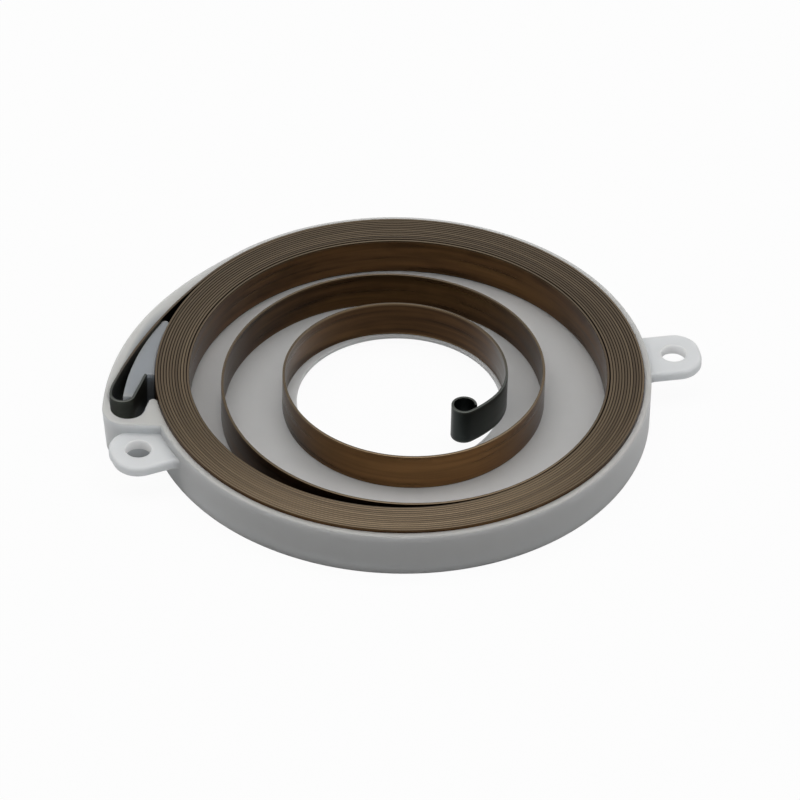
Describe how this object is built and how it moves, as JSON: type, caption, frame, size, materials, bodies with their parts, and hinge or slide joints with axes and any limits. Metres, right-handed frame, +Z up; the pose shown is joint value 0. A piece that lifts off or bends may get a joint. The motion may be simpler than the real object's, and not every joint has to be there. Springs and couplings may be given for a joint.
{
  "type": "recoil starter spring",
  "caption": "Flat steel spiral spring wound in a round open plastic case with screw ears, an outer hook held in a side pocket and an inner eye for the rope drum.",
  "frame": {"origin": "axis of the round case at the foot it stands on", "axes": "+X along the line of the two screw ears, +Y away from the ears' lower side, +Z up along the case's axis, out of its open side"},
  "size_m": [0.1086, 0.089, 0.009],
  "materials": {
    "case_nylon": "natural white nylon, satin and slightly translucent",
    "spring_steel": "tempered brown spring steel with bare rolled edges"
  },
  "bodies": {
    "root": {"spring_case": "case_nylon", "spiral_spring": "spring_steel"}
  },
  "joints": []
}
